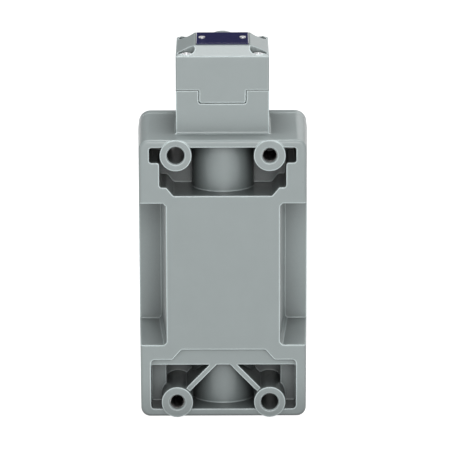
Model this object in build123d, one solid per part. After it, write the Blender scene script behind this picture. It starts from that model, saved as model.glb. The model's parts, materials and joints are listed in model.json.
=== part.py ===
from build123d import *
import math
import os

# Hazardous location limit switch, in millimetres. A die-cast enclosure with a bolted cover
# carries a rotary head on a square neck. The shaft turns two mirrored involute cams, and each
# cam drives one pole of the contact block through a plunger and a long rod.
# +Z is up and the front faces -Y. The boss faces lie in y = 0, which is the mounting plane, and
# the origin is the centre of the four bosses. A depth is a distance in front of that plane.

# Mounting bosses
MOUNT_PITCH_X = 40.2
MOUNT_PITCH_Z = 110.4
BOSS_R = 6.8
BOSS_PROUD = 0.5
CLEAR_HOLE_R = 3.7
CLEAR_MOUTH = 0.5
TAPPED_HOLE_R = 3.175
TAPPED_HOLE_DEPTH = 20.0
TAPPED_MOUTH = 0.5

# Outer form of the casting
REAR_EDGE_R = 1.3
OUTER_DRAFT = 1.75
FLANGE_W = 74.0
FLANGE_H = 126.0
FLANGE_CORNER_R = 5.2
FLANGE_T = 8.5
BODY_DEPTH = 47.0

# Side recesses between the mounting pads
RECESS_X = 24.45
RECESS_TOP = 34.0
RECESS_BOTTOM = -29.4
RECESS_SIDE_DRAFT = 4.2
RECESS_END_DRAFT = 1.5
RECESS_CORNER = 1.2

# Rear pocket above the plain panel
POCKET_X = 31.5
POCKET_DEPTH = 25.0
POCKET_CORNER_R = 1.1
UPPER_TOP = 58.6
UPPER_WINDOW_Z = 51.9
UPPER_SIDE_X = 27.2
UPPER_STEP_Z = 41.0
UPPER_STEP_X = 24.2
UPPER_FLOOR_X = 21.2
UPPER_FLOOR_Z = 37.3

# Rear pocket below the plain panel
LOWER_TOP = -31.5
LOWER_TOP_X = 18.3
LOWER_SHOULDER_X = 22.2
LOWER_SHOULDER_Z = -36.1
LOWER_LEDGE_Z = -38.9
LOWER_LEDGE_T = 2.6
LOWER_FLOOR_Z = -58.4
SHELF_X = 25.0
SHELF_DEPTH = 13.0
RIB_W = 2.2
RIB_APEX_X = 3.4
RIB_APEX_Z = -37.8
PASSAGE_R = 13.5
PASSAGE_DEPTH = 21.5

# Neck, head and the keyed joint between them
HEAD_W = 40.0
HEAD_REAR = 10.9
NECK_TOP = 81.3
COVER_CLEARANCE = 0.6
SEAM_CHAMFER = 0.4
HEAD_TOP = 99.6
EAVE_H = 3.5
EAVE_SIDE_RUN = 7.9
EAVE_END_RUN = 6.2
HEAD_EDGE_R = 0.7
TONGUE_W = 19.9
TONGUE_H = 5.5
TONGUE_T = 3.2
TONGUE_GAP = 0.35
TONGUE_CORNER_R = 1.0
HEAD_SCREW_PITCH = 30.9
HEAD_SCREW_SEAT = 93.8
HEAD_SCREW_POCKET_R = 3.65
HEAD_SCREW_R = 2.0
HEAD_SCREW_HEAD_R = 2.9
HEAD_SCREW_HEAD_H = 2.3
HEAD_SCREW_LENGTH = 24.0
HEAD_SCREW_SPARE = 1.5
HEAD_CAVITY_W = 19.6
HEAD_CAVITY_L = 27.0
HEAD_CAVITY_TOP = 92.0
CAM_ROOM_R = 8.7
HEAD_GASKET_R = 13.0
HEAD_GASKET_W = 2.0
HEAD_GASKET_T = 1.2

# Identification plate and its rivets
PLATE_W = 22.6
PLATE_L = 23.5
PLATE_T = 0.5
PLATE_CORNER_R = 0.8
RIVET_PITCH = 17.6
RIVET_R = 1.4
RIVET_H = 0.55
RIVET_SHANK_R = 0.9
RIVET_SHANK_L = 2.2

# Operating shaft and its bearings
SHAFT_Z = 88.6
SHAFT_R = 4.7625
JOURNAL_R = 4.95
JOURNAL_REACH = 2.0
SHAFT_REACH = 13.3
SHAFT_CORE_R = 3.2
SHAFT_CORE_GAP = 0.5
SHAFT_CHAMFER = 0.6
SHAFT_BOSS_R = 9.8
SHAFT_BOSS_L = 3.8
BUSH_WALL = 1.75
SEAL_R = 6.9
SEAL_T = 2.2
RUN_CLEAR = 0.05
REAR_BUSH_L = 3.8
RING_T = 1.0
RING_R = 6.6
RING_GROOVE_CUT = 0.6
END_PLAY = 0.1

# Cams: the support radius grows evenly with the angle, so the plunger moves evenly
CAM_RADIUS = 5.5
CAM_RISE = 1.3
CAM_TURN = 75.0
CAM_SPARE_TURN = 6.0
CAM_T = 4.4
POLE_PITCH = 11.0
PLUNGER_GAP = 0.02

# Return spring, a flat spiral between the ring and the front cam
RETURN_STRIP_T = 0.35
RETURN_STRIP_W = 1.6
RETURN_HALF_TURNS = 4
RETURN_PITCH = 0.9
RETURN_POST_R = 0.9
RETURN_GAP = 0.15

# Plungers, rods and their guides
PLUNGER_R = 3.0
PLUNGER_BOTTOM = 76.5
SLIDE_CLEAR = 0.04
GUIDE_R = 12.0
GUIDE_T = 4.0
NECK_POCKET_R = 10.0
NECK_POCKET_Z = 71.5
ROD_R = 2.5
ROD_BUSH_R = 4.2
ROD_BUSH_TOP = 71.0
ROD_BUSH_BOTTOM = 42.0
ROD_HOLE_R = 2.9

# Chamber inside the casting
CHAMBER_REAR = 6.0
CHAMBER_W = 39.0
CHAMBER_TOP = 33.0
CHAMBER_BOTTOM = -34.0
CHAMBER_CORNER_R = 3.0

# Contact block
BLOCK_SIDE_GAP = 1.5
BLOCK_TOP_GAP = 0.6
BLOCK_REAR = 14.0
BLOCK_FRONT_GAP = 4.0
BLOCK_BOTTOM = -17.0
BLOCK_FOOT_W = 6.6
BLOCK_FOOT_LOW = -12.0
BLOCK_FOOT_HIGH = 26.4
BLOCK_FOOT_X = 14.0
BLOCK_SCREW_R = 1.5
BLOCK_SCREW_HEAD_R = 2.7
BLOCK_SCREW_HEAD_H = 1.8
BLOCK_SCREW_GRIP = 5.0
TIP_SPARE = 0.5
CAP_T = 1.8
CHANNEL_W = 10.0
CHANNEL_L = 8.0
CHANNEL_BOTTOM = -14.0
CARRIER_GAP = 0.15
CARRIER_TOP = 28.5
CARRIER_BOTTOM = -4.0
REAR_ROW_Z = 18.0
ROW_PITCH = 12.0
BRIDGE_L = 27.0
BRIDGE_W = 5.0
BRIDGE_T = 0.8
TIP_W = 2.8
TIP_T = 0.4
TIP_X = 11.3
TIP_GAP = 1.75
SLOT_CLEAR = 0.5
STRIP_INNER_X = 8.6
STRIP_OUTER_X = 16.6
STRIP_T = 0.8
TAB_W = 6.0
TAB_H = 4.4
TAB_T = 0.8
TERMINAL_SCREW_R = 1.25
TERMINAL_SCREW_HEAD_R = 1.9
TERMINAL_SCREW_HEAD_H = 1.5
TERMINAL_SCREW_GRIP = 3.0
SPRING_REACH = 3.6
SPRING_W = 5.0
SPRING_T = 0.5
SPRING_FOLDS = 3

# Cover, its screws and its gasket
COVER_T = 7.0
COVER_BEVEL = 1.2
COVER_FIELD_W = 47.0
COVER_FIELD_H = 80.0
COVER_FIELD_T = 2.6
COVER_FIELD_CORNER = 4.0
COVER_FIELD_DRAFT = 12.0
COVER_SCREW_X = 30.6
COVER_SCREW_Z = 45.0
COVER_SCREW_R = 2.5
COVER_SCREW_HEAD_R = 4.25
COVER_SCREW_HEAD_H = 5.0
COVER_SCREW_SEAT_R = 4.8
COVER_SCREW_SEAT_T = 3.4
COVER_SCREW_GRIP = 6.4
HEX_R = 2.3
HEX_DEPTH = 2.6
SCREW_CLEAR = 0.15
GASKET_SIDE_LAND = 5.0
GASKET_END_LAND = 3.0
GASKET_W = 2.0
GASKET_T = 1.5
GASKET_CORNER_R = 6.0

# Conduit entry and ground screw
CONDUIT_R = 10.3
CONDUIT_DEPTH = 23.0
CONDUIT_L = 19.0
THROAT_R = 7.9
HUB_R = 14.0
GROUND_X = 13.0
GROUND_Z = -27.0
GROUND_BOSS_R = 4.0
GROUND_BOSS_L = 3.0
GROUND_SCREW_R = 1.9
GROUND_HEAD_R = 3.5
GROUND_HEAD_H = 2.0
GROUND_CLAMP_T = 1.0

# Places that follow from the sizes above
BLOCK_W = CHAMBER_W - 2 * BLOCK_SIDE_GAP
BLOCK_TOP = CHAMBER_TOP - CAP_T - BLOCK_TOP_GAP
BLOCK_FRONT = BODY_DEPTH - BLOCK_FRONT_GAP
GASKET_OUTER_W = CHAMBER_W + 2 * (GASKET_SIDE_LAND + GASKET_W)
GASKET_OUTER_H = CHAMBER_TOP - CHAMBER_BOTTOM + 2 * (GASKET_END_LAND + GASKET_W)
MOUNT_X = MOUNT_PITCH_X / 2
MOUNT_Z = MOUNT_PITCH_Z / 2
FLANGE_REAR = BODY_DEPTH - FLANGE_T
COVER_FRONT = BODY_DEPTH + COVER_T
FLANGE_TOP = FLANGE_H / 2
HEAD_MID = HEAD_REAR + HEAD_W / 2
HEAD_FRONT = HEAD_REAR + HEAD_W
HEAD_SCREW_X = HEAD_SCREW_PITCH / 2
HEAD_CAVITY_REAR = HEAD_MID - HEAD_CAVITY_L / 2
HEAD_CAVITY_FRONT = HEAD_MID + HEAD_CAVITY_L / 2
SHAFT_CORE_FRONT = HEAD_MID + POLE_PITCH / 2 + PLUNGER_R + SHAFT_CORE_GAP
REAR_POLE = HEAD_MID - POLE_PITCH / 2
FRONT_POLE = HEAD_MID + POLE_PITCH / 2
POLES = {"rear": REAR_POLE, "front": FRONT_POLE}
ROWS = {"rear": REAR_ROW_Z, "front": REAR_ROW_Z - ROW_PITCH}
PLUNGER_TOP = SHAFT_Z - CAM_RADIUS - PLUNGER_GAP
GUIDE_BOTTOM = NECK_TOP - GUIDE_T
STRIP_Z = BRIDGE_T / 2 + 2 * TIP_T + TIP_GAP + STRIP_T / 2
STUB_FRONT = HEAD_FRONT + SHAFT_BOSS_L
RING_FRONT = HEAD_CAVITY_FRONT - END_PLAY
SPRING_FRONT = RING_FRONT - RING_T - END_PLAY


def at_depth(depth):
    """A plane parallel to the mounting plane, whose extrusions run towards the front."""
    return Plane.XZ.offset(depth)


def slab(sketch, rear, front, taper=0.0):
    """A prism along the depth. A positive taper narrows it towards the front."""
    return extrude(at_depth(rear) * sketch, amount=front - rear, taper=taper)


def post(sketch, bottom, top):
    """A prism along Z, from one height to another."""
    return extrude(Plane.XY.offset(bottom) * sketch, amount=top - bottom)


def y_rod(radius, rear, front, x=0.0, z=0.0):
    """A round bar along the depth."""
    return slab(Pos(x, z) * Circle(radius), rear, front)


def z_rod(radius, bottom, top, x=0.0, depth=0.0):
    """A round bar along Z."""
    return post(Pos(x, -depth) * Circle(radius), bottom, top)


def brick(x0, x1, rear, front, z0, z1):
    """A box between two x values, two depths and two heights."""
    face = Pos((x0 + x1) / 2, (z0 + z1) / 2) * Rectangle(x1 - x0, z1 - z0)
    return slab(face, rear, front)


def six_sided(radius, rear, front, x, z):
    """A hexagon bar along the depth, which stands for a small screw inside and for its hole."""
    return slab(Pos(x, z) * RegularPolygon(radius, 6), rear, front)


def mirrored_outline(half):
    """A face from the right half of an outline, top to bottom."""
    points = half + [(-x, z) for x, z in reversed(half)]
    return make_face(Polyline(*points, close=True))


def rounded(solid, radius):
    """The solid with one radius on all its edges that run straight along the depth."""
    return fillet(solid.edges().filter_by(Axis.Y), radius)


def shrink(length, degrees):
    """How far a drafted wall leans over a length."""
    return length * math.tan(math.radians(degrees))


def save(node, *solids):
    """Writes one node. Several solids make a group of separate pieces."""
    shape = solids[0] if len(solids) == 1 else Compound(children=list(solids))
    export_step(shape, f"parts/{node}.step")


def side_recess(side):
    """The open recess between the pads on one side, wider at the rear than at its floor."""
    sections = []
    outside = FLANGE_W
    for depth in (-2.0, FLANGE_REAR):
        inner = RECESS_X + shrink(depth, RECESS_SIDE_DRAFT)
        top = RECESS_TOP - shrink(depth, RECESS_END_DRAFT)
        bottom = RECESS_BOTTOM + shrink(depth, RECESS_END_DRAFT)
        face = chamfer(Rectangle(outside - inner, top - bottom).vertices(), RECESS_CORNER)
        sections.append(at_depth(depth) * Pos(side * (inner + outside) / 2, (top + bottom) / 2) * face)
    return loft(sections, ruled=True)


def boss(x, z):
    """A mounting boss, from the mounting plane into the casting."""
    return y_rod(BOSS_R, 0, POCKET_DEPTH + 1, x, z)


def upper_pocket():
    """The pocket round the two upper bosses and the rod passage."""
    half = [
        (POCKET_X, UPPER_TOP),
        (POCKET_X, UPPER_WINDOW_Z),
        (UPPER_SIDE_X, UPPER_WINDOW_Z),
        (UPPER_SIDE_X, UPPER_STEP_Z),
        (UPPER_STEP_X, UPPER_STEP_Z),
        (UPPER_FLOOR_X, UPPER_FLOOR_Z),
    ]
    pocket = slab(mirrored_outline(half), -1, POCKET_DEPTH)
    return rounded(pocket, POCKET_CORNER_R)


def lower_pocket():
    """The pocket round the two lower bosses and the conduit hub, below a shallow ledge."""
    half = [
        (LOWER_TOP_X, LOWER_TOP),
        (LOWER_SHOULDER_X, LOWER_SHOULDER_Z),
        (POCKET_X, LOWER_SHOULDER_Z),
        (POCKET_X, LOWER_FLOOR_Z),
    ]
    ledge = rounded(slab(mirrored_outline(half), -1, LOWER_LEDGE_T), 1.5 * POCKET_CORNER_R)
    height = LOWER_LEDGE_Z - LOWER_FLOOR_Z
    middle = (LOWER_LEDGE_Z + LOWER_FLOOR_Z) / 2
    shelf = Pos(0, middle) * Rectangle(2 * POCKET_X, height)
    deep = Pos(0, middle) * Rectangle(2 * SHELF_X, height)
    pocket = rounded(slab(shelf, LOWER_LEDGE_T - 1, SHELF_DEPTH), POCKET_CORNER_R)
    pocket += rounded(slab(deep, LOWER_LEDGE_T, POCKET_DEPTH), POCKET_CORNER_R)
    return ledge + pocket - ribs()


def ribs():
    """The two ribs that run from the panel to the lower bosses."""
    both = []
    for side in (1, -1):
        dx = MOUNT_X - RIB_APEX_X
        dz = MOUNT_Z + RIB_APEX_Z
        length = math.hypot(dx, dz)
        place = Pos(side * (MOUNT_X + RIB_APEX_X) / 2, (RIB_APEX_Z - MOUNT_Z) / 2)
        turn = Rot(0, 0, -side * math.degrees(math.atan2(dz, dx)))
        both.append(slab(place * turn * Rectangle(length, RIB_W), LOWER_LEDGE_T, POCKET_DEPTH + 1))
    return both[0] + both[1]


def chamber():
    """The space for the contact block and the wiring, open to the cover."""
    height = CHAMBER_TOP - CHAMBER_BOTTOM
    middle = (CHAMBER_TOP + CHAMBER_BOTTOM) / 2
    face = Pos(0, middle) * Rectangle(CHAMBER_W, height)
    return rounded(slab(face, CHAMBER_REAR, BODY_DEPTH + 1), CHAMBER_CORNER_R)


def keys(bottom, width, thickness):
    """Four keys or slots, one in the middle of each side of the square head."""
    reach = HEAD_W / 2
    top = NECK_TOP + TONGUE_CORNER_R
    shapes = []
    for turn in range(4):
        outline = Pos(0, (bottom + top) / 2) * RectangleRounded(width, top - bottom, TONGUE_CORNER_R)
        key = extrude(at_depth(reach - thickness) * outline, amount=thickness)
        shapes.append(Pos(0, -HEAD_MID, 0) * Rot(0, 0, 90 * turn) * key)
    return shapes


def neck():
    """The square neck. Its front part overhangs the cover with a small gap."""
    square = Pos(0, -HEAD_MID) * Rectangle(HEAD_W, HEAD_W)
    solid = post(square, FLANGE_TOP - 3, NECK_TOP)
    overhang_floor = FLANGE_TOP + COVER_CLEARANCE
    solid -= brick(-HEAD_W, HEAD_W, BODY_DEPTH, HEAD_FRONT + 1, 0, overhang_floor)
    for slot in keys(NECK_TOP - TONGUE_H - TONGUE_GAP, TONGUE_W + 2 * TONGUE_GAP, TONGUE_T + TONGUE_GAP):
        solid -= slot
    for x, depth in head_screw_places():
        tip = HEAD_SCREW_SEAT - HEAD_SCREW_LENGTH - HEAD_SCREW_SPARE
        solid -= z_rod(HEAD_SCREW_R, tip, NECK_TOP + 1, x, depth)
    return solid


def head_screw_places():
    """The x and depth of each head screw."""
    return [(x * HEAD_SCREW_X, HEAD_MID + d * HEAD_SCREW_X) for x in (-1, 1) for d in (-1, 1)]


def cover_screw_places():
    """The x and z of each cover screw."""
    return [(x * COVER_SCREW_X, z * COVER_SCREW_Z) for x in (-1, 1) for z in (-1, 0, 1)]


def block_foot_places():
    """The x and z of each foot and screw of the contact block."""
    return [(x, z) for x in (-BLOCK_FOOT_X, BLOCK_FOOT_X) for z in (BLOCK_FOOT_LOW, BLOCK_FOOT_HIGH)]


def ring_face(width, height, band, radius, z=0.0):
    """A rounded rectangular ring, for a gasket and its groove."""
    outer = RectangleRounded(width, height, radius)
    inner = RectangleRounded(width - 2 * band, height - 2 * band, radius - band)
    return Pos(0, z) * (outer - inner)


def housing():
    """The enclosure casting with its neck, bosses, pockets, chamber and conduit entry."""
    lean = shrink(FLANGE_REAR - BOSS_PROUD, OUTER_DRAFT)
    rear = RectangleRounded(FLANGE_W - 2 * lean, FLANGE_H - 2 * lean, FLANGE_CORNER_R - lean)
    body = slab(rear, BOSS_PROUD, FLANGE_REAR, taper=-OUTER_DRAFT)
    body = fillet(body.faces().sort_by(Axis.Y)[-1].edges(), REAR_EDGE_R)
    flange = slab(RectangleRounded(FLANGE_W, FLANGE_H, FLANGE_CORNER_R), FLANGE_REAR, BODY_DEPTH)
    body += chamfer(flange.faces().sort_by(Axis.Y)[0].edges(), SEAM_CHAMFER)
    body -= side_recess(1)
    body -= side_recess(-1)
    passage = z_rod(PASSAGE_R, UPPER_FLOOR_Z - 2, UPPER_TOP + 2, 0, PASSAGE_DEPTH)
    hub = z_rod(HUB_R, LOWER_FLOOR_Z - 2, LOWER_LEDGE_Z + 2, 0, CONDUIT_DEPTH)
    body -= upper_pocket() - passage
    body -= lower_pocket() - hub
    for x in (-MOUNT_X, MOUNT_X):
        for z in (-MOUNT_Z, MOUNT_Z):
            body += boss(x, z)
    body += neck()
    body -= chamber()
    for x, z in block_foot_places():
        foot = Pos(x, z) * Rectangle(BLOCK_FOOT_W, BLOCK_FOOT_W)
        body += slab(foot, CHAMBER_REAR - 1, BLOCK_REAR)
        body -= six_sided(BLOCK_SCREW_R, BLOCK_REAR - BLOCK_SCREW_GRIP, BLOCK_REAR + 1, x, z)
    ground_top = CHAMBER_REAR + GROUND_BOSS_L
    body += y_rod(GROUND_BOSS_R, CHAMBER_REAR - 1, ground_top, GROUND_X, GROUND_Z)
    body -= y_rod(GROUND_SCREW_R, CHAMBER_REAR - 2, ground_top + 1, GROUND_X, GROUND_Z)
    for side in (1, -1):
        body -= y_rod(CLEAR_HOLE_R, -1, BODY_DEPTH + 1, side * MOUNT_X, side * MOUNT_Z)
        body -= y_rod(TAPPED_HOLE_R, -1, TAPPED_HOLE_DEPTH, -side * MOUNT_X, side * MOUNT_Z)
        body -= mouth(CLEAR_HOLE_R, CLEAR_MOUTH, side * MOUNT_X, side * MOUNT_Z)
        body -= mouth(TAPPED_HOLE_R, TAPPED_MOUTH, -side * MOUNT_X, side * MOUNT_Z)
    body -= z_rod(CONDUIT_R, -FLANGE_H, CONDUIT_L - FLANGE_TOP, 0, CONDUIT_DEPTH)
    body -= z_rod(THROAT_R, -FLANGE_TOP, CHAMBER_BOTTOM + 2, 0, CONDUIT_DEPTH)
    for pole in POLES.values():
        body -= z_rod(ROD_HOLE_R, CHAMBER_TOP - 2, NECK_POCKET_Z, 0, pole)
        body -= z_rod(ROD_BUSH_R, ROD_BUSH_BOTTOM, NECK_POCKET_Z + 1, 0, pole)
    body -= z_rod(NECK_POCKET_R, NECK_POCKET_Z, NECK_TOP + 1, 0, HEAD_MID)
    body -= z_rod(GUIDE_R, GUIDE_BOTTOM, NECK_TOP + 1, 0, HEAD_MID)
    body -= head_gasket()
    body -= slab(ring_face(GASKET_OUTER_W, GASKET_OUTER_H, GASKET_W, GASKET_CORNER_R),
                 BODY_DEPTH - GASKET_T, BODY_DEPTH + 1)
    for x, z in cover_screw_places():
        body -= y_rod(COVER_SCREW_R, BODY_DEPTH - COVER_SCREW_GRIP, BODY_DEPTH + 1, x, z)
    return body


def mouth(radius, width, x, z):
    """The countersink at the mouth of a mounting hole."""
    cone = Cone(radius + width + 1, radius, width + 1)
    return Pos(x, 1, z) * Rot(90, 0, 0) * Pos(0, 0, (width + 1) / 2) * cone


def head_gasket():
    """The flat ring that seals the head on the neck."""
    ring = Circle(HEAD_GASKET_R + HEAD_GASKET_W) - Circle(HEAD_GASKET_R)
    return post(Pos(0, -HEAD_MID) * ring, NECK_TOP - HEAD_GASKET_T, NECK_TOP)


def gable(run):
    """The head's outline seen from one side, with a slope of the given run at each eave."""
    eave = HEAD_TOP - EAVE_H
    half = [(HEAD_W / 2 - run, HEAD_TOP), (HEAD_W / 2, eave), (HEAD_W / 2, NECK_TOP)]
    points = half + [(-x, z) for x, z in reversed(half)]
    return make_face(Polyline(*points, close=True))


def head_casting():
    """The head with its sloped roof, keys, corner screw pockets and shaft boss."""
    square = Pos(0, -HEAD_MID) * Rectangle(HEAD_W, HEAD_W)
    head = post(square, NECK_TOP, HEAD_TOP)
    head &= slab(gable(EAVE_SIDE_RUN), HEAD_REAR - 1, HEAD_FRONT + 1)
    across = extrude(Plane.YZ.offset(-HEAD_W) * Pos(-HEAD_MID, 0) * gable(EAVE_END_RUN), amount=2 * HEAD_W)
    head &= across
    head = fillet(head.edges().filter_by(Axis.Z), HEAD_EDGE_R)
    stub = y_rod(SHAFT_BOSS_R, HEAD_FRONT - 1, HEAD_FRONT + SHAFT_BOSS_L, 0, SHAFT_Z)
    head += stub - brick(-HEAD_W, HEAD_W, HEAD_FRONT - 2, HEAD_FRONT + HEAD_W, 0, NECK_TOP)
    for key in keys(NECK_TOP - TONGUE_H, TONGUE_W, TONGUE_T):
        head += key
    half = HEAD_CAVITY_W / 2
    head -= brick(-half, half, HEAD_CAVITY_REAR, HEAD_CAVITY_FRONT, NECK_TOP - 1, HEAD_CAVITY_TOP)
    head -= y_rod(CAM_ROOM_R, HEAD_CAVITY_REAR, HEAD_CAVITY_FRONT, 0, SHAFT_Z)
    for x, depth in head_screw_places():
        head -= z_rod(HEAD_SCREW_POCKET_R, HEAD_SCREW_SEAT, HEAD_TOP + 1, x, depth)
        head -= z_rod(HEAD_SCREW_R, NECK_TOP - 1, HEAD_TOP, x, depth)
    head += y_rod(RETURN_POST_R, SPRING_FRONT - RETURN_STRIP_W, HEAD_CAVITY_FRONT + 1, *return_post_place())
    head -= y_rod(JOURNAL_R + BUSH_WALL, HEAD_CAVITY_FRONT - 1, STUB_FRONT + 1, 0, SHAFT_Z)
    head -= y_rod(SEAL_R, STUB_FRONT - SEAL_T, STUB_FRONT + 1, 0, SHAFT_Z)
    head -= y_rod(SHAFT_CORE_R + BUSH_WALL, HEAD_CAVITY_REAR - REAR_BUSH_L, HEAD_CAVITY_REAR + 1, 0, SHAFT_Z)
    for side in (1, -1):
        shank = z_rod(RIVET_SHANK_R, HEAD_TOP - RIVET_SHANK_L, HEAD_TOP + 1, side * RIVET_PITCH / 2, HEAD_MID)
        head -= shank
    return head


def return_post_place():
    """The x and z of the post that holds the outer end of the return spring."""
    outer = spring_radius(RETURN_HALF_TURNS - 1) + RETURN_STRIP_T / 2
    return -outer - RETURN_POST_R, SHAFT_Z + RETURN_PITCH / 2


def spring_radius(half_turn):
    """The radius of the return spring's strip along one half turn."""
    return JOURNAL_R + RETURN_GAP + RETURN_STRIP_T / 2 + half_turn * RETURN_PITCH / 2


def return_spring():
    """A flat spiral of half rings, each wider than the one before by half the pitch."""
    spiral = None
    for half_turn in range(RETURN_HALF_TURNS):
        odd = half_turn % 2
        radius = spring_radius(half_turn)
        band = Circle(radius + RETURN_STRIP_T / 2) - Circle(radius - RETURN_STRIP_T / 2)
        side = -1 if odd else 1
        reach = 4 * JOURNAL_R
        half = band & (Pos(side * reach / 2, 0) * Rectangle(reach, 2 * reach))
        place = Pos(0, SHAFT_Z + odd * RETURN_PITCH / 2)
        piece = slab(place * half, SPRING_FRONT - RETURN_STRIP_W, SPRING_FRONT)
        spiral = piece if spiral is None else spiral + piece
    return spiral


def front_cover():
    """The plain cover with its raised field, screw seats and two mounting holes."""
    plate = slab(RectangleRounded(FLANGE_W, FLANGE_H, FLANGE_CORNER_R), BODY_DEPTH, COVER_FRONT)
    plate = chamfer(plate.faces().sort_by(Axis.Y)[0].edges(), COVER_BEVEL)
    plate = chamfer(plate.faces().sort_by(Axis.Y)[-1].edges(), SEAM_CHAMFER)
    field = chamfer(Rectangle(COVER_FIELD_W, COVER_FIELD_H).vertices(), COVER_FIELD_CORNER)
    plate += slab(field, COVER_FRONT - 0.5, COVER_FRONT + COVER_FIELD_T, taper=COVER_FIELD_DRAFT)
    for x, z in cover_screw_places():
        plate -= y_rod(COVER_SCREW_R + SCREW_CLEAR, BODY_DEPTH - 1, COVER_FRONT + 1, x, z)
        plate -= y_rod(COVER_SCREW_SEAT_R, BODY_DEPTH + COVER_SCREW_SEAT_T, COVER_FRONT + 3, x, z)
    for side in (1, -1):
        plate -= y_rod(CLEAR_HOLE_R, BODY_DEPTH - 1, COVER_FRONT + 1, side * MOUNT_X, side * MOUNT_Z)
    return plate


def cover_screw(x, z):
    """A socket-head cap screw."""
    seat = BODY_DEPTH + COVER_SCREW_SEAT_T
    top = seat + COVER_SCREW_HEAD_H
    screw = y_rod(COVER_SCREW_HEAD_R, seat, top, x, z)
    screw += y_rod(COVER_SCREW_R, BODY_DEPTH - COVER_SCREW_GRIP + TIP_SPARE, seat, x, z)
    return screw - slab(Pos(x, z) * RegularPolygon(HEX_R, 6), top - HEX_DEPTH, top + 1)


def head_screw(x, depth):
    """A cheese-head screw, with its driver recess left plain."""
    head = z_rod(HEAD_SCREW_HEAD_R, HEAD_SCREW_SEAT, HEAD_SCREW_SEAT + HEAD_SCREW_HEAD_H, x, depth)
    return head + z_rod(HEAD_SCREW_R, HEAD_SCREW_SEAT - HEAD_SCREW_LENGTH, HEAD_SCREW_SEAT, x, depth)


def identification_plate():
    """The bare plate on the head, with its rivet holes."""
    outline = RectangleRounded(PLATE_W, PLATE_L, PLATE_CORNER_R)
    plate = post(Pos(0, -HEAD_MID) * outline, HEAD_TOP, HEAD_TOP + PLATE_T)
    for side in (1, -1):
        plate -= z_rod(RIVET_SHANK_R, HEAD_TOP - 1, HEAD_TOP + 1, side * RIVET_PITCH / 2, HEAD_MID)
    return plate


def rivet(x):
    """A flat-head drive rivet."""
    base = HEAD_TOP + PLATE_T
    head = z_rod(RIVET_R, base, base + RIVET_H, x, HEAD_MID)
    return head + z_rod(RIVET_SHANK_R, HEAD_TOP - RIVET_SHANK_L, base, x, HEAD_MID)


def tube(outer, inner, rear, front):
    """A plain bush on the shaft's axis."""
    return y_rod(outer, rear, front, 0, SHAFT_Z) - y_rod(inner, rear - 1, front + 1, 0, SHAFT_Z)


def operating_shaft():
    """The shaft: a lever seat outside, a journal in the bush and a thinner core for the cams."""
    seat = y_rod(SHAFT_R, STUB_FRONT, STUB_FRONT + SHAFT_REACH, 0, SHAFT_Z)
    seat = chamfer(seat.edges().sort_by(Axis.Y)[0], SHAFT_CHAMFER)
    seat += y_rod(JOURNAL_R, SHAFT_CORE_FRONT, STUB_FRONT + JOURNAL_REACH, 0, SHAFT_Z)
    core = y_rod(SHAFT_CORE_R, HEAD_CAVITY_REAR - REAR_BUSH_L + 4 * END_PLAY, SHAFT_CORE_FRONT, 0, SHAFT_Z)
    groove = tube(JOURNAL_R + 1, JOURNAL_R - RING_GROOVE_CUT, RING_FRONT - RING_T, RING_FRONT)
    return seat + core - groove


def cam(depth, hand):
    """A cam whose support radius grows evenly with the angle, towards one hand."""
    reach = math.radians(CAM_TURN + CAM_SPARE_TURN)
    steps = 12
    curve = []
    for i in range(steps + 1):
        turn = reach * (2 * i / steps - 1)
        radius = CAM_RADIUS + CAM_RISE * turn
        across = radius * math.sin(turn) + CAM_RISE * math.cos(turn)
        along = -radius * math.cos(turn) + CAM_RISE * math.sin(turn)
        curve.append((hand * across, SHAFT_Z + along))
    face_curve = Spline(*curve)
    back = ThreePointArc(curve[-1], (hand * CAM_RISE / 2, SHAFT_Z + CAM_RADIUS), curve[0])
    profile = make_face([face_curve, back])
    return slab(profile - Pos(0, SHAFT_Z) * Circle(SHAFT_CORE_R), depth - CAM_T / 2, depth + CAM_T / 2)


def plunger_guide():
    """The disc that guides both plungers, clamped between the neck and the head."""
    disc = z_rod(GUIDE_R, GUIDE_BOTTOM, NECK_TOP, 0, HEAD_MID)
    for pole in POLES.values():
        disc -= z_rod(PLUNGER_R + SLIDE_CLEAR, GUIDE_BOTTOM - 1, NECK_TOP + 1, 0, pole)
    return disc


def rod_bushing(pole):
    """The long bush that is the flame path round one rod."""
    bush = z_rod(ROD_BUSH_R, ROD_BUSH_BOTTOM, ROD_BUSH_TOP, 0, pole)
    return bush - z_rod(ROD_R + SLIDE_CLEAR, ROD_BUSH_BOTTOM - 1, ROD_BUSH_TOP + 1, 0, pole)


def strip(pole, row, side, level):
    """One fixed contact: a strip from the bridge to a terminal tab on the block's front."""
    z = row + level * STRIP_Z
    x0 = min(side * STRIP_INNER_X, side * STRIP_OUTER_X)
    x1 = max(side * STRIP_INNER_X, side * STRIP_OUTER_X)
    rear = pole - BRIDGE_W / 2 - SLOT_CLEAR
    top = z + STRIP_T / 2
    bar = brick(x0, x1, rear, BLOCK_FRONT + TAB_T, z - STRIP_T / 2, top)
    middle = side * (STRIP_OUTER_X - TAB_W / 2)
    tab = brick(middle - TAB_W / 2, middle + TAB_W / 2, BLOCK_FRONT, BLOCK_FRONT + TAB_T, top - TAB_H, top)
    hole = six_sided(TERMINAL_SCREW_R, BLOCK_FRONT - 1, BLOCK_FRONT + 2, *terminal_place(row, side, level))
    return bar + tab - hole


def terminal_place(row, side, level):
    """The x and z of one terminal screw."""
    x = side * (STRIP_OUTER_X - TAB_W / 2)
    return x, row + level * STRIP_Z - (TAB_H - STRIP_T / 2) / 2 - 0.1


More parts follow.
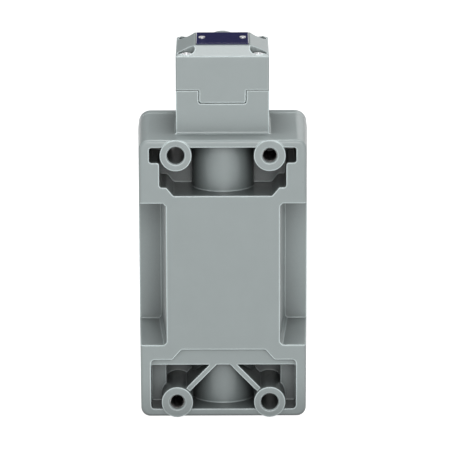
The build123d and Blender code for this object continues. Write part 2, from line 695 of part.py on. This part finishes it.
def terminal_screw(row, side, level):
    """One terminal screw with a hexagon head."""
    x, z = terminal_place(row, side, level)
    front = BLOCK_FRONT + TAB_T
    screw = six_sided(TERMINAL_SCREW_HEAD_R, front, front + TERMINAL_SCREW_HEAD_H, x, z)
    return screw + six_sided(TERMINAL_SCREW_R, BLOCK_FRONT - TERMINAL_SCREW_GRIP, front, x, z)


def contact_tip(x, depth, bottom):
    """One square contact pad."""
    return post(Pos(x, -depth) * Rectangle(TIP_W, TIP_W), bottom, bottom + TIP_T)


def contact_block():
    """The moulded block with a channel and a cross slot for each pole."""
    half = BLOCK_W / 2
    solid = brick(-half, half, BLOCK_REAR, BLOCK_FRONT, BLOCK_BOTTOM, BLOCK_TOP)
    for name, pole in POLES.items():
        row = ROWS[name]
        solid -= channel(pole, CHANNEL_BOTTOM, BLOCK_TOP + 1)
        slot_d = BRIDGE_W / 2 + SLOT_CLEAR
        slot_h = STRIP_Z + STRIP_T / 2
        solid -= brick(-half - 1, half + 1, pole - slot_d, pole + slot_d, row - slot_h, row + slot_h)
    for name, side, level in contact_places():
        solid -= strip(POLES[name], ROWS[name], side, level)
        place = terminal_place(ROWS[name], side, level)
        solid -= six_sided(TERMINAL_SCREW_R, BLOCK_FRONT - TERMINAL_SCREW_GRIP, BLOCK_FRONT + 1, *place)
    for x, z in block_foot_places():
        solid -= six_sided(BLOCK_SCREW_R + SCREW_CLEAR, BLOCK_REAR - 1, BLOCK_FRONT + 1, x, z)
    return solid


def channel(pole, bottom, top):
    """The space that a carrier slides in."""
    return brick(-CHANNEL_W / 2, CHANNEL_W / 2, pole - CHANNEL_L / 2, pole + CHANNEL_L / 2, bottom, top)


def contact_places():
    """Each fixed contact, by pole, side and level."""
    return [(name, side, level) for name in POLES for side in (-1, 1) for level in (-1, 1)]


def block_cap():
    """The cap that closes the channels, with a hole for each rod."""
    half = BLOCK_W / 2
    cap = brick(-half, half, BLOCK_REAR, BLOCK_FRONT, BLOCK_TOP, BLOCK_TOP + CAP_T)
    for pole in POLES.values():
        cap -= z_rod(ROD_HOLE_R, BLOCK_TOP - 1, BLOCK_TOP + CAP_T + 1, 0, pole)
    return cap


def block_screw(x, z):
    """One screw that holds the contact block on its foot."""
    screw = six_sided(BLOCK_SCREW_HEAD_R, BLOCK_FRONT, BLOCK_FRONT + BLOCK_SCREW_HEAD_H, x, z)
    return screw + six_sided(BLOCK_SCREW_R, BLOCK_REAR - BLOCK_SCREW_GRIP + TIP_SPARE, BLOCK_FRONT, x, z)


def carrier(pole, row):
    """The moulded slider that holds the bridge of one pole."""
    half_w = CHANNEL_W / 2 - CARRIER_GAP
    half_l = CHANNEL_L / 2 - CARRIER_GAP
    solid = brick(-half_w, half_w, pole - half_l, pole + half_l, CARRIER_BOTTOM, CARRIER_TOP)
    return solid - bridge_bar(pole, row)


def bridge_bar(pole, row):
    """The plain bar of a contact bridge."""
    half_l = BRIDGE_L / 2
    half_w = BRIDGE_W / 2
    return brick(-half_l, half_l, pole - half_w, pole + half_w, row - BRIDGE_T / 2, row + BRIDGE_T / 2)


def bridge(pole, row):
    """A contact bridge with a pad above and below each end."""
    solid = bridge_bar(pole, row)
    for side in (-1, 1):
        solid += contact_tip(side * TIP_X, pole, row + BRIDGE_T / 2)
        solid += contact_tip(side * TIP_X, pole, row - BRIDGE_T / 2 - TIP_T)
    return solid


def pole_spring(pole):
    """The folded leaf spring below a carrier, a zigzag strip that lies across the channel."""
    legs = 2 * SPRING_FOLDS
    rise = (CARRIER_BOTTOM - CHANNEL_BOTTOM - SPRING_T) / legs
    spring = None
    for i in range(legs):
        x = SPRING_REACH if i % 2 else -SPRING_REACH
        low = CHANNEL_BOTTOM + i * rise
        corners = [(x, low), (-x, low + rise), (-x, low + rise + SPRING_T), (x, low + SPRING_T)]
        leg = slab(make_face(Polyline(*corners, close=True)), pole - SPRING_W / 2, pole + SPRING_W / 2)
        spring = leg if spring is None else spring + leg
    return spring


def ground_parts():
    """The saddle clamp and the screw of the ground terminal."""
    seat = CHAMBER_REAR + GROUND_BOSS_L
    top = seat + GROUND_CLAMP_T
    half = GROUND_HEAD_R + 0.5
    clamp = brick(GROUND_X - half, GROUND_X + half, seat, top, GROUND_Z - half, GROUND_Z + half)
    clamp -= y_rod(GROUND_SCREW_R + SCREW_CLEAR, seat - 1, top + 1, GROUND_X, GROUND_Z)
    screw = y_rod(GROUND_HEAD_R, top, top + GROUND_HEAD_H, GROUND_X, GROUND_Z)
    screw += y_rod(GROUND_SCREW_R, CHAMBER_REAR - 1.5, top, GROUND_X, GROUND_Z)
    return clamp, screw


def build():
    """Writes every node."""
    os.makedirs("parts", exist_ok=True)
    save("housing", housing())
    save("front_cover", front_cover())
    save("cover_gasket", slab(ring_face(GASKET_OUTER_W, GASKET_OUTER_H, GASKET_W, GASKET_CORNER_R),
                              BODY_DEPTH - GASKET_T, BODY_DEPTH))
    save("cover_screws", *[cover_screw(x, z) for x, z in cover_screw_places()])
    save("head_casting", head_casting())
    save("head_gasket", head_gasket())
    save("head_screws", *[head_screw(x, depth) for x, depth in head_screw_places()])
    save("identification_plate", identification_plate())
    save("plate_rivets", *[rivet(side * RIVET_PITCH / 2) for side in (-1, 1)])
    save("shaft_bushing", tube(JOURNAL_R + BUSH_WALL, JOURNAL_R + RUN_CLEAR,
                               HEAD_CAVITY_FRONT, STUB_FRONT - SEAL_T))
    save("shaft_seal", tube(SEAL_R, JOURNAL_R + RUN_CLEAR, STUB_FRONT - SEAL_T, STUB_FRONT))
    save("rear_bushing", tube(SHAFT_CORE_R + BUSH_WALL, SHAFT_CORE_R + RUN_CLEAR,
                              HEAD_CAVITY_REAR - REAR_BUSH_L, HEAD_CAVITY_REAR))
    save("operating_shaft", operating_shaft())
    save("retaining_ring", tube(RING_R, JOURNAL_R - RING_GROOVE_CUT, RING_FRONT - RING_T, RING_FRONT))
    save("front_cam", cam(FRONT_POLE, 1))
    save("rear_cam", cam(REAR_POLE, -1))
    save("return_spring", return_spring())
    save("plunger_guide", plunger_guide())
    save("rod_bushings", *[rod_bushing(pole) for pole in POLES.values()])
    save("contact_block", contact_block())
    save("block_cap", block_cap())
    save("block_screws", *[block_screw(x, z) for x, z in block_foot_places()])
    save("fixed_contacts", *[strip(POLES[n], ROWS[n], side, level) for n, side, level in contact_places()])
    tips = []
    for name, side, level in contact_places():
        face = ROWS[name] + level * (STRIP_Z - STRIP_T / 2)
        tips.append(contact_tip(side * TIP_X, POLES[name], face - TIP_T if level > 0 else face))
    save("contact_tips", *tips)
    save("terminal_screws", *[terminal_screw(ROWS[n], side, level) for n, side, level in contact_places()])
    clamp, screw = ground_parts()
    save("ground_clamp", clamp)
    save("ground_screw", screw)
    for name, pole in POLES.items():
        save(f"{name}_plunger", z_rod(PLUNGER_R, PLUNGER_BOTTOM, PLUNGER_TOP, 0, pole))
        save(f"{name}_rod", z_rod(ROD_R, CARRIER_TOP, PLUNGER_BOTTOM, 0, pole))
        save(f"{name}_carrier", carrier(pole, ROWS[name]))
        save(f"{name}_bridge", bridge(pole, ROWS[name]))
        save(f"{name}_spring", pole_spring(pole))


build()
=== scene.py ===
import bpy
import json
import math
from mathutils import Matrix, Vector


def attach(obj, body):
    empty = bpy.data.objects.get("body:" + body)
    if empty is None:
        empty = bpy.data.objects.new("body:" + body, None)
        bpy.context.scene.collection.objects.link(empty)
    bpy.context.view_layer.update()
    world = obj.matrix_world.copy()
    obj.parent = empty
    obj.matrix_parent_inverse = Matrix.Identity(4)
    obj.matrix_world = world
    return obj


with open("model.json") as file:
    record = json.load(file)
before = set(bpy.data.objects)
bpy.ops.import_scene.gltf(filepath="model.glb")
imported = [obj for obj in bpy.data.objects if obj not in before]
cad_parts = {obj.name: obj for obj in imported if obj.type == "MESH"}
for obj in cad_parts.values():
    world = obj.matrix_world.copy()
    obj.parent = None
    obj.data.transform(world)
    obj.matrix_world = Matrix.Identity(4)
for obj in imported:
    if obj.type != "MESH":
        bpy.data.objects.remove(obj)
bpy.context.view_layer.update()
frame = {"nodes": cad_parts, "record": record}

# Sizes of the object that the pieces below line up with, in metres
MOUNT_X = 0.0201
MOUNT_Z = 0.0552
TAPPED_MAJOR_R = 0.003175
TAPPED_MINOR_R = 0.0026
THREAD_PITCH = 0.00127
TAPPED_DEPTH = 0.0195
TAPPED_START = 0.0006
HEAD_MID_Y = -0.0309
PLATE_TOP_Z = 0.1001
PLATE_W = 0.0226
PLATE_L = 0.0235
FLOOR_Z = -0.0631
CONDUIT_DEPTH = 0.023
CONDUIT_R = 0.0103
CONDUIT_L = 0.0185
CONDUIT_PITCH = 0.001814
CONDUIT_START = 0.0004
CONDUIT_RIDGE = 0.0007
# Where a ridge's foot, the two sides of its crest and its other foot lie within one pitch
THREAD_PROFILE = (0.05, 0.42, 0.58, 0.95)
THREAD_STEPS = 36
FLANGE_TOP = 0.063
FLANGE_BOTTOM = -0.063
FLANGE_REAR_Y = -0.0385
OUTER_DRAFT = math.radians(1.75)
HEAD_W = 0.04
NECK_TOP_Z = 0.0813
NECK_FOOT_R = 0.0009
FILLET_STEPS = 6
KEY_SIDE = 0.0103
SHADOW_H = 0.0003
SHADOW_SKIN = 0.00002
HEAD_SCREW_PITCH = 0.0309
HEAD_SCREW_TOP = 0.0961
HEAD_SCREW_R = 0.0029
CROWN_H = 0.0007
CROWN_RINGS = 18
CROWN_STEPS = 72
RECESS_DEEP = 0.0009
RECESS_ARM = 0.00038
RECESS_REACH = 0.0018
RECESS_TAPER = 0.5
BORDER_W = 0.0002
BORDER_H = 0.00003

# The body that every added piece rides on
ENCLOSURE = "enclosure"

# How the materials paint a highlight along edges and paint shade into hollows, and soften edges in
# the bump: radii and reaches in metres, the rest are shares
SOFT_EDGE = 0.0008
PAINTED_HIGHLIGHT_RADIUS = 0.0012
SHADE_REACH = 0.03
SHADE_DEPTH = 0.1
SHADE_RANGE = (0.03, 0.85)
METAL_SHADE_DEPTH = 0.04
MOTTLE_RANGE = (0.3, 0.7)
NODE_SAMPLES = 8
PAINTED_HIGHLIGHT_TINT = 2.4
PAINTED_HIGHLIGHT_SHARE = 0.95
FLAT_COSINE = 0.99
EDGE_COSINE = 0.9

# The floor's half width, its grey, roughness and glow, and the sky's strength
FLOOR_HALF = 4.0
FLOOR_GREY = 0.35
FLOOR_ROUGH = 0.8
FLOOR_GLOW = 1.0
SKY_STRENGTH = 0.14
WHITE = (1.0, 1.0, 1.0, 1.0)

# Each soft light: its place, the point that it faces, its width and its power
LIGHTS = {
    "top_softbox": ((0.0, -0.25, 1.05), (0.0, -0.02, 0.02), 0.7, 6.5),
    "rear_fill": ((-0.1, 1.5, 0.45), (0.0, 0.0, 0.02), 0.9, 17.0),
    "front_fill": ((-0.5, -1.3, 0.5), (0.0, 0.0, 0.02), 0.8, 1.5),
    "left_strip": ((1.1, 0.1, 0.35), (0.0, 0.0, 0.02), 0.35, 1.2),
    "right_strip": ((-1.1, 0.1, 0.35), (0.0, 0.0, 0.02), 0.35, 1.2),
}

# The camera stands behind the switch and looks slightly down on it
TARGET = Vector((-0.0009, 0.0, 0.0246))
CAMERA_DISTANCE = 1.4157
CAMERA_RISE = math.radians(15.0)
CAMERA_ROLL = math.radians(-0.19)
LENS = 264.0
SENSOR = 36.0
CAMERA_REACH = 20.0


def new_material(name):
    """A node material with its shader and its output in place."""
    material = bpy.data.materials.new(name)
    material.use_nodes = True
    return material, material.node_tree, material.node_tree.nodes["Principled BSDF"]


def coordinates(tree, size):
    """Object coordinates, scaled so that one unit is the given size in metres, or one per axis."""
    sizes = size if isinstance(size, tuple) else (size,) * 3
    source = tree.nodes.new("ShaderNodeTexCoord")
    mapping = tree.nodes.new("ShaderNodeMapping")
    mapping.inputs["Scale"].default_value = tuple(1.0 / side for side in sizes)
    tree.links.new(source.outputs["Object"], mapping.inputs["Vector"])
    return mapping.outputs["Vector"]


def noise(tree, size, detail=3.0, roughness=0.5):
    """A noise whose grains are about the given size in metres."""
    node = tree.nodes.new("ShaderNodeTexNoise")
    node.inputs["Scale"].default_value = 1.0
    node.inputs["Detail"].default_value = detail
    node.inputs["Roughness"].default_value = roughness
    tree.links.new(coordinates(tree, size), node.inputs["Vector"])
    return node.outputs["Fac"]


def ramp(tree, value, low, high, dark, light):
    """A colour ramp between two colours."""
    node = tree.nodes.new("ShaderNodeValToRGB")
    node.color_ramp.elements[0].position = low
    node.color_ramp.elements[0].color = (*dark, 1.0)
    node.color_ramp.elements[1].position = high
    node.color_ramp.elements[1].color = (*light, 1.0)
    tree.links.new(value, node.inputs["Fac"])
    return node.outputs["Color"]


def bump(tree, shader, heights, edge=0.0):
    """Bump from a list of (value, height in metres, strength), over edges softened by a radius."""
    last = None
    if edge > 0.0:
        softened = tree.nodes.new("ShaderNodeBevel")
        softened.samples = NODE_SAMPLES
        softened.inputs["Radius"].default_value = edge
        last = softened.outputs["Normal"]
    for value, height, strength in heights:
        node = tree.nodes.new("ShaderNodeBump")
        node.inputs["Distance"].default_value = height
        node.inputs["Strength"].default_value = strength
        tree.links.new(value, node.inputs["Height"])
        if last is not None:
            tree.links.new(last, node.inputs["Normal"])
        last = node.outputs["Normal"]
    tree.links.new(last, shader.inputs["Normal"])


def painted_hollow_shade(tree, colour, reach, depth):
    """A colour with painted shade: it darkens where the surface is closed in within the given
    reach in metres.
    """
    closed = tree.nodes.new("ShaderNodeAmbientOcclusion")
    closed.samples = NODE_SAMPLES
    closed.inputs["Distance"].default_value = reach
    dark = ramp(tree, closed.outputs["AO"], *SHADE_RANGE, (depth,) * 3, (1.0,) * 3)
    mix = tree.nodes.new("ShaderNodeMix")
    mix.data_type = "RGBA"
    mix.blend_type = "MULTIPLY"
    mix.inputs["Factor"].default_value = 1.0
    tree.links.new(colour, mix.inputs["A"])
    tree.links.new(dark, mix.inputs["B"])
    return mix.outputs["Result"]


def painted_edge_highlight(tree, colour, radius, bright, strength):
    """A painted highlight: the colour turns brighter along the edges."""
    softened = tree.nodes.new("ShaderNodeBevel")
    softened.samples = NODE_SAMPLES
    softened.inputs["Radius"].default_value = radius
    plain = tree.nodes.new("ShaderNodeNewGeometry")
    dot = tree.nodes.new("ShaderNodeVectorMath")
    dot.operation = "DOT_PRODUCT"
    tree.links.new(softened.outputs["Normal"], dot.inputs[0])
    tree.links.new(plain.outputs["Normal"], dot.inputs[1])
    mask = tree.nodes.new("ShaderNodeMapRange")
    mask.inputs["From Min"].default_value = FLAT_COSINE
    mask.inputs["From Max"].default_value = EDGE_COSINE
    mask.inputs["To Min"].default_value = 0.0
    mask.inputs["To Max"].default_value = strength
    tree.links.new(dot.outputs["Value"], mask.inputs["Value"])
    mix = tree.nodes.new("ShaderNodeMix")
    mix.data_type = "RGBA"
    tree.links.new(mask.outputs["Result"], mix.inputs["Factor"])
    tree.links.new(colour, mix.inputs["A"])
    mix.inputs["B"].default_value = (*bright, 1.0)
    return mix.outputs["Result"]


def set_roughness(tree, shader, value, low, high):
    """A roughness that follows a value from low to high."""
    spread = tree.nodes.new("ShaderNodeMapRange")
    spread.inputs["To Min"].default_value = low
    spread.inputs["To Max"].default_value = high
    tree.links.new(value, spread.inputs["Value"])
    tree.links.new(spread.outputs["Result"], shader.inputs["Roughness"])


def tint(colour, factor):
    """A colour made lighter or darker."""
    return tuple(min(1.0, channel * factor) for channel in colour)


def enamel(name, colour, grain=0.0006, gloss=0.3, shine=0.5):
    """Enamel over a cast surface: fine orange peel, faint mottling, edges softened in the bump, a
    painted highlight along the edges and painted shade in hollows.
    """
    material, tree, shader = new_material(name)
    mottle = noise(tree, 0.012, detail=4.0, roughness=0.6)
    base = ramp(tree, mottle, *MOTTLE_RANGE, tint(colour, 0.98), tint(colour, 1.02))
    # Painted highlight: the base colour is brightened along the edges
    with_painted_highlight = painted_edge_highlight(tree, base, PAINTED_HIGHLIGHT_RADIUS, tint(colour, PAINTED_HIGHLIGHT_TINT), PAINTED_HIGHLIGHT_SHARE)
    # Painted shade: the colour darkens in hollows and pockets
    tree.links.new(painted_hollow_shade(tree, with_painted_highlight, SHADE_REACH, SHADE_DEPTH), shader.inputs["Base Color"])
    set_roughness(tree, shader, noise(tree, 0.003), gloss - 0.05, gloss + 0.06)
    shader.inputs["Specular IOR Level"].default_value = shine
    peel = noise(tree, grain, detail=2.0)
    cast = noise(tree, 0.0045, detail=2.0)
    bump(tree, shader, [(cast, 0.0001, 0.04), (peel, 0.00003, 0.08)], SOFT_EDGE)
    return material


def metal(name, colour, rough=0.3, grain=(0.0002, 0.006, 0.0002), wear=0.08, reach=0.0):
    """Machined or plated metal with fine marks, and painted shade in hollows where a reach is
    given.
    """
    material, tree, shader = new_material(name)
    shader.inputs["Metallic"].default_value = 1.0
    lines = noise(tree, grain, detail=2.0)
    cloud = noise(tree, 0.003)
    base = ramp(tree, cloud, *MOTTLE_RANGE, tint(colour, 1.0 - wear), tint(colour, 1.0 + wear))
    if reach > 0.0:
        base = painted_hollow_shade(tree, base, reach, METAL_SHADE_DEPTH)
    tree.links.new(base, shader.inputs["Base Color"])
    set_roughness(tree, shader, lines, rough - 0.06, rough + 0.08)
    bump(tree, shader, [(lines, 0.00001, 0.3)])
    return material


def moulding(name, colour, rough=0.5, grain=0.0004):
    """Moulded plastic or rubber with a fine grain."""
    material, tree, shader = new_material(name)
    cloud = noise(tree, 0.004)
    base = ramp(tree, cloud, *MOTTLE_RANGE, tint(colour, 0.9), tint(colour, 1.1))
    tree.links.new(base, shader.inputs["Base Color"])
    set_roughness(tree, shader, noise(tree, 0.002), rough - 0.06, rough + 0.06)
    bump(tree, shader, [(noise(tree, grain, detail=2.0), 0.00003, 0.3)])
    return material


GREY = (0.365, 0.415, 0.415)
NAVY = (0.007, 0.007, 0.06)
FINISHES = {
    "casting": enamel("grey_enamel", GREY),
    "seal_rubber": moulding("black_rubber", (0.02, 0.02, 0.02), rough=0.6),
    "plated_steel": metal("zinc_plate", (0.78, 0.79, 0.80), rough=0.42),
    # The cut threads get painted shade in their hollows
    "cut_thread": metal("bare_cut_metal", (0.80, 0.80, 0.79), rough=0.24, reach=0.007),
    "plate_blue": enamel("blue_enamel", NAVY, grain=0.0004, gloss=0.5, shine=0.08),
    "bright_rivet": metal("bright_rivet_metal", (0.92, 0.92, 0.92), rough=0.5),
    "stainless_shaft": metal("ground_stainless", (0.62, 0.61, 0.59), rough=0.24,
                             grain=(0.006, 0.0002, 0.006)),
    "hard_steel": metal("hardened_steel", (0.40, 0.40, 0.41), rough=0.3),
    "spring_steel": metal("spring_steel", (0.33, 0.33, 0.34), rough=0.35),
    "bronze": metal("sintered_bronze", (0.52, 0.34, 0.17), rough=0.42),
    "brass": metal("stamped_brass", (0.78, 0.60, 0.30), rough=0.3),
    "silver_tip": metal("silver_contact", (0.88, 0.87, 0.84), rough=0.25),
    "moulding_black": moulding("black_moulding", (0.025, 0.025, 0.028)),
    "moulding_white": moulding("white_moulding", (0.72, 0.70, 0.66)),
}


def dress_nodes():
    """Gives each CAD node the finish of its slot."""
    slots = {part["node"]: part["material_slot"] for part in frame["record"]["subparts"]}
    for name, thing in frame["nodes"].items():
        thing.data.materials.clear()
        thing.data.materials.append(FINISHES[slots[name]])


def mesh_piece(name, vertices, faces, slot, smooth=True, finish=None):
    """A new piece of the enclosure from its vertices and faces."""
    mesh = bpy.data.meshes.new(name)
    mesh.from_pydata(vertices, [], faces)
    mesh.validate()
    if smooth:
        mesh.polygons.foreach_set("use_smooth", [True] * len(mesh.polygons))
    mesh.materials.append(FINISHES[finish or slot])
    piece = bpy.data.objects.new(name, mesh)
    bpy.context.scene.collection.objects.link(piece)
    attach(piece, ENCLOSURE)


def helix_ridge(name, radius, crest, pitch, start, end, place, slot):
    """The thread in a hole: a ridge that winds along the axis between two distances."""
    steps = THREAD_STEPS
    turns = (end - start) / pitch - 1.0
    total = int(steps * turns)
    profile = list(zip((radius, crest, crest, radius), THREAD_PROFILE))
    vertices = []
    faces = []
    for i in range(total + 1):
        angle = 2.0 * math.pi * i / steps
        along = start + pitch * i / steps
        for reach, shift in profile:
            flat = (reach * math.cos(angle), reach * math.sin(angle), along + shift * pitch)
            vertices.append(place @ Vector(flat))
    width = len(profile)
    for i in range(total):
        for k in range(width - 1):
            a = width * i + k
            faces.append((a, a + width, a + width + 1, a + 1))
    mesh_piece(name, [tuple(v) for v in vertices], faces, slot, finish="cut_thread")


def threads():
    """The threads of the two tapped bosses and of the conduit entry."""
    inward = Matrix.Rotation(math.pi / 2.0, 4, "X")
    for number, side in enumerate((1, -1)):
        centre = Matrix.Translation((-side * MOUNT_X, 0.0, side * MOUNT_Z))
        helix_ridge(f"mount_thread_{number + 1}", TAPPED_MAJOR_R, TAPPED_MINOR_R, THREAD_PITCH,
                    TAPPED_START, TAPPED_DEPTH, centre @ inward, "casting")
    mouth = Matrix.Translation((0.0, -CONDUIT_DEPTH, FLANGE_BOTTOM))
    helix_ridge("conduit_thread", CONDUIT_R, CONDUIT_R - CONDUIT_RIDGE, CONDUIT_PITCH,
                CONDUIT_START, CONDUIT_L, mouth, "casting")


def screw_crown(name, x, y):
    """The crown of a head screw, with its cross recess."""
    rings = CROWN_RINGS
    steps = CROWN_STEPS
    vertices = [(x, y, HEAD_SCREW_TOP + CROWN_H - RECESS_DEEP)]
    faces = []
    for i in range(1, rings + 1):
        reach = HEAD_SCREW_R * i / rings
        for k in range(steps):
            angle = 2.0 * math.pi * k / steps
            dx = reach * math.cos(angle)
            dy = reach * math.sin(angle)
            height = CROWN_H * (1.0 - (i / rings) ** 2)
            arm = min(abs(dx), abs(dy))
            if arm < RECESS_ARM and reach < RECESS_REACH:
                height -= RECESS_DEEP * (1.0 - RECESS_TAPER * reach / RECESS_REACH)
            vertices.append((x + dx, y + dy, HEAD_SCREW_TOP + height))
    for k in range(steps):
        faces.append((0, 1 + k, 1 + (k + 1) % steps))
    for i in range(rings - 1):
        for k in range(steps):
            a = 1 + i * steps + k
            b = 1 + i * steps + (k + 1) % steps
            faces.append((a, a + steps, b + steps, b))
    mesh_piece(name, vertices, faces, "plated_steel")


def screw_crowns():
    """The crowns of the four head screws."""
    for column in (-1, 1):
        for row in (-1, 1):
            x = column * HEAD_SCREW_PITCH / 2
            y = HEAD_MID_Y + row * HEAD_SCREW_PITCH / 2
            screw_crown(f"screw_crown_{3 + column + (row + 1) // 2}", x, y)


def plate_border():
    """The bright bare edge round the plate."""
    x = PLATE_W / 2
    y = PLATE_L / 2
    outer = [(-x, -y), (x, -y), (x, y), (-x, y)]
    inner = [(a * (1 - BORDER_W / x), b * (1 - BORDER_W / y)) for a, b in outer]
    top = PLATE_TOP_Z + BORDER_H
    vertices = [(a, HEAD_MID_Y + b, top) for a, b in outer + inner]
    faces = [(i, (i + 1) % 4, 4 + (i + 1) % 4, 4 + i) for i in range(4)]
    mesh_piece("plate_border", vertices, faces, "bright_rivet", smooth=False)


def joint_shadow():
    """A painted shadow: the dark hairline where the head meets the neck, beside each key, as thin
    strips in the black rubber finish.
    """
    half = HEAD_W / 2
    line = SHADOW_H / 2
    skin = SHADOW_SKIN
    for number in range(4):
        turn = Matrix.Rotation(number * math.pi / 2.0, 4, "Z")
        place = Matrix.Translation((0.0, HEAD_MID_Y, NECK_TOP_Z)) @ turn
        vertices = []
        for x0, x1 in ((-half - skin, -KEY_SIDE), (KEY_SIDE, half + skin)):
            for x, z in ((x0, -line), (x1, -line), (x1, line), (x0, line)):
                vertices.append(tuple(place @ Vector((x, half + skin, z))))
        faces = [(3, 2, 1, 0), (7, 6, 5, 4)]
        # Painted shadow strips, in the black rubber finish
        mesh_piece(f"joint_shadow_{number + 1}", vertices, faces, "seal_rubber", smooth=False)


def body_top(y):
    """The height of the casting's drafted top at a given y."""
    run = max(0.0, y - FLANGE_REAR_Y)
    return FLANGE_TOP - run * math.tan(OUTER_DRAFT)


def neck_fillet():
    """The small cast radius round the foot of the neck."""
    half = HEAD_W / 2
    rear = HEAD_MID_Y + half
    front = FLANGE_REAR_Y
    path = [(-half, front, -1, 0), (-half, rear, -1, 1), (half, rear, 1, 1), (half, front, 1, 0)]
    steps = FILLET_STEPS
    vertices = []
    for x, y, ax, ay in path:
        for i in range(steps + 1):
            angle = math.pi / 2.0 * i / steps
            out = NECK_FOOT_R * (1.0 - math.cos(angle))
            up = NECK_FOOT_R * (1.0 - math.sin(angle))
            px = x + ax * out
            py = y + ay * out
            vertices.append((px, py, body_top(py) + up))
    faces = []
    for i in range(len(path) - 1):
        for k in range(steps):
            a = i * (steps + 1) + k
            faces.append((a, a + steps + 1, a + steps + 2, a + 1))
    mesh_piece("neck_fillet", vertices, faces, "casting", smooth=False)


def studio():
    """The floor, the lights and the sky."""
    side = FLOOR_HALF
    mesh = bpy.data.meshes.new("floor")
    corners = [(x * side, y * side, FLOOR_Z) for x, y in ((-1, -1), (1, -1), (1, 1), (-1, 1))]
    mesh.from_pydata(corners, [], [(0, 1, 2, 3)])
    floor = bpy.data.objects.new("floor", mesh)
    bpy.context.scene.collection.objects.link(floor)
    material, _, shader = new_material("pale_floor")
    shader.inputs["Base Color"].default_value = (FLOOR_GREY, FLOOR_GREY, FLOOR_GREY, 1.0)
    shader.inputs["Roughness"].default_value = FLOOR_ROUGH
    shader.inputs["Emission Color"].default_value = WHITE
    shader.inputs["Emission Strength"].default_value = FLOOR_GLOW
    mesh.materials.append(material)
    floor.visible_diffuse = False
    for name, (place, target, size, power) in LIGHTS.items():
        area_light(name, place, target, size, power)
    world = bpy.data.worlds.new("studio")
    bpy.context.scene.world = world
    world.use_nodes = True
    sky = world.node_tree.nodes["Background"]
    sky.inputs["Color"].default_value = WHITE
    sky.inputs["Strength"].default_value = SKY_STRENGTH
    view = bpy.context.scene.view_settings
    view.view_transform = "Standard"
    view.look = "None"


def area_light(name, place, target, size, power):
    """A square soft light that faces a point."""
    light = bpy.data.lights.new(name, "AREA")
    light.shape = "SQUARE"
    light.size = size
    light.energy = power
    lamp = bpy.data.objects.new(name, light)
    lamp.location = place
    direction = Vector(target) - Vector(place)
    lamp.rotation_euler = direction.to_track_quat("-Z", "Y").to_euler()
    bpy.context.scene.collection.objects.link(lamp)


def camera():
    """The camera, behind the switch and above it."""
    data = bpy.data.cameras.new("camera")
    data.lens = LENS
    data.sensor_width = SENSOR
    data.clip_end = CAMERA_REACH
    viewer = bpy.data.objects.new("camera", data)
    back = Vector((0.0, math.cos(CAMERA_RISE), math.sin(CAMERA_RISE)))
    place = TARGET + back * CAMERA_DISTANCE
    aim = (TARGET - place).to_track_quat("-Z", "Y").to_matrix().to_4x4()
    roll = Matrix.Rotation(CAMERA_ROLL, 4, "Z")
    viewer.matrix_world = Matrix.Translation(place) @ aim @ roll
    bpy.context.scene.collection.objects.link(viewer)
    bpy.context.scene.camera = viewer


camera()
studio()
dress_nodes()
threads()
plate_border()
joint_shadow()
neck_fillet()
screw_crowns()
